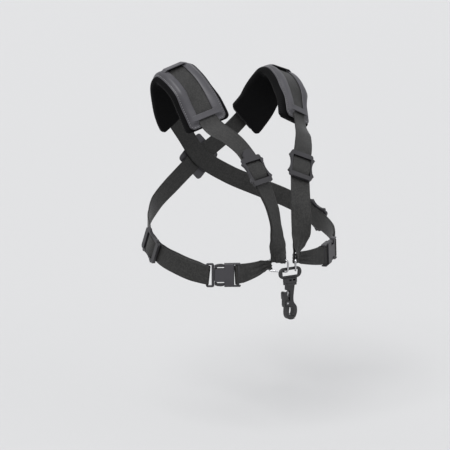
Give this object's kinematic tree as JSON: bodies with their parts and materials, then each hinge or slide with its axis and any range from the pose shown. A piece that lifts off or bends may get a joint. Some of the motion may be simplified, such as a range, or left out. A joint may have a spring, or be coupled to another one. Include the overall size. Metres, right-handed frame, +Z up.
{
  "type": "saxophone harness",
  "caption": "Padded shoulder harness that carries a saxophone: crossed webbing straps, chest belt with side-release buckles, and a swivel snap hook on two wire rings.",
  "frame": {"origin": "on the wearer's vertical axis, at the height of the tops of the shoulders", "axes": "+Z up, the wearer faces -Y, the wearer's left is +X"},
  "size_m": [0.27, 0.2092, 0.3155],
  "materials": {
    "velour_foam": "matte ribbed velour over foam",
    "leatherette": "smooth satin leatherette",
    "webbing": "woven synthetic webbing with a slight sheen",
    "moulded_plastic": "satin moulded plastic",
    "ring_wire": "bright plated wire",
    "spring_steel": "bright steel"
  },
  "bodies": {
    "harness": {"left_pad_foam": "velour_foam", "left_pad_cover": "leatherette", "left_pad_front_keeper": "leatherette", "left_pad_crest_keeper": "leatherette", "left_pad_rear_keeper": "leatherette", "left_front_loop_webbing": "webbing", "left_shoulder_webbing": "webbing", "left_front_belt_webbing": "webbing", "left_side_belt_webbing": "webbing", "left_buckle_female": "moulded_plastic", "right_pad_foam": "velour_foam", "right_pad_cover": "leatherette", "right_pad_front_keeper": "leatherette", "right_pad_crest_keeper": "leatherette", "right_pad_rear_keeper": "leatherette", "right_front_loop_webbing": "webbing", "right_shoulder_webbing": "webbing", "right_front_belt_webbing": "webbing", "right_side_belt_webbing": "webbing", "right_buckle_female": "moulded_plastic", "back_cross_patch": "leatherette"},
    "left_front_slider": {"left_front_slider_frame": "moulded_plastic", "left_front_slider_webbing_fold": "webbing"},
    "left_side_slider": {"left_side_slider_frame": "moulded_plastic", "left_side_slider_webbing_fold": "webbing"},
    "left_ring": {"left_ring": "ring_wire"},
    "left_buckle_male": {"left_buckle_male": "moulded_plastic"},
    "left_buckle_upper_arm": {"left_buckle_upper_arm": "moulded_plastic"},
    "left_buckle_lower_arm": {"left_buckle_lower_arm": "moulded_plastic"},
    "right_front_slider": {"right_front_slider_frame": "moulded_plastic", "right_front_slider_webbing_fold": "webbing"},
    "right_side_slider": {"right_side_slider_frame": "moulded_plastic", "right_side_slider_webbing_fold": "webbing"},
    "right_ring": {"right_ring": "ring_wire"},
    "right_buckle_male": {"right_buckle_male": "moulded_plastic"},
    "right_buckle_upper_arm": {"right_buckle_upper_arm": "moulded_plastic"},
    "right_buckle_lower_arm": {"right_buckle_lower_arm": "moulded_plastic"},
    "hook_eye": {"hook_eye": "moulded_plastic"},
    "hook_body": {"hook_body": "moulded_plastic", "jaw_pin": "spring_steel", "jaw_spring": "spring_steel"},
    "hook_jaw": {"hook_jaw": "moulded_plastic"}
  },
  "joints": [
    {"name": "left_front_slider_slide", "type": "slide", "parent": "harness", "child": "left_front_slider", "axis": [0.4585, 0.4914, 0.7405], "range_m": [-0.02, 0.02]},
    {"name": "left_side_slider_slide", "type": "slide", "parent": "harness", "child": "left_side_slider", "axis": [-0.1195, 0.9004, 0.4183], "range_m": [-0.012, 0.012]},
    {"name": "left_ring_rock", "type": "hinge", "parent": "harness", "child": "left_ring", "pos_m": [0.0133, -0.0901, -0.22965], "axis": [0.6, 0.8, 0], "range_deg": [-2, 2]},
    {"name": "left_buckle_release", "type": "slide", "parent": "harness", "child": "left_buckle_male", "axis": [0.8479, 0.5188, 0.1091], "range_m": [0, 0.028], "deforming": ["left_side_belt_webbing"]},
    {"name": "left_buckle_upper_press", "type": "hinge", "parent": "left_buckle_male", "child": "left_buckle_upper_arm", "pos_m": [0.09144, -0.06518, -0.22021], "axis": [0.5217, -0.8532, 0.003], "range_deg": [0, 5], "stiffness_Nm_per_rad": 0.02},
    {"name": "left_buckle_lower_press", "type": "hinge", "parent": "left_buckle_male", "child": "left_buckle_lower_arm", "pos_m": [0.09358, -0.06395, -0.24267], "axis": [-0.5217, 0.8532, -0.003], "range_deg": [0, 5], "stiffness_Nm_per_rad": 0.02},
    {"name": "right_front_slider_slide", "type": "slide", "parent": "harness", "child": "right_front_slider", "axis": [-0.1935, 0.5296, 0.8259], "range_m": [-0.02, 0.02]},
    {"name": "right_side_slider_slide", "type": "slide", "parent": "harness", "child": "right_side_slider", "axis": [0.1157, 0.8723, 0.4751], "range_m": [-0.012, 0.012]},
    {"name": "right_ring_rock", "type": "hinge", "parent": "harness", "child": "right_ring", "pos_m": [-0.0133, -0.0901, -0.22965], "axis": [0.6, -0.8, 0], "range_deg": [-2, 2]},
    {"name": "right_buckle_release", "type": "slide", "parent": "harness", "child": "right_buckle_male", "axis": [-0.853, 0.5219, 0.0007], "range_m": [0, 0.028], "deforming": ["right_side_belt_webbing"]},
    {"name": "right_buckle_upper_press", "type": "hinge", "parent": "right_buckle_male", "child": "right_buckle_upper_arm", "pos_m": [-0.09258, -0.06452, -0.2551], "axis": [-0.5219, -0.853, 0], "range_deg": [0, 5], "stiffness_Nm_per_rad": 0.02},
    {"name": "right_buckle_lower_press", "type": "hinge", "parent": "right_buckle_male", "child": "right_buckle_lower_arm", "pos_m": [-0.09257, -0.06453, -0.2325], "axis": [0.5219, 0.853, 0], "range_deg": [0, 5], "stiffness_Nm_per_rad": 0.02},
    {"name": "hook_swing", "type": "hinge", "parent": "harness", "child": "hook_eye", "pos_m": [0, -0.0965, -0.241], "axis": [1, 0, 0], "range_deg": [-30, 4]},
    {"name": "hook_swivel", "type": "hinge", "parent": "hook_eye", "child": "hook_body", "pos_m": [0, -0.0965, -0.2583], "axis": [0, 0, 1], "continuous": true},
    {"name": "jaw_open", "type": "hinge", "parent": "hook_body", "child": "hook_jaw", "pos_m": [-0.0055, -0.0965, -0.2843], "axis": [0, 1, 0], "range_deg": [0, 18], "stiffness_Nm_per_rad": 0.02, "springref_deg": -11.46, "deforming": ["jaw_spring"]}
  ]
}
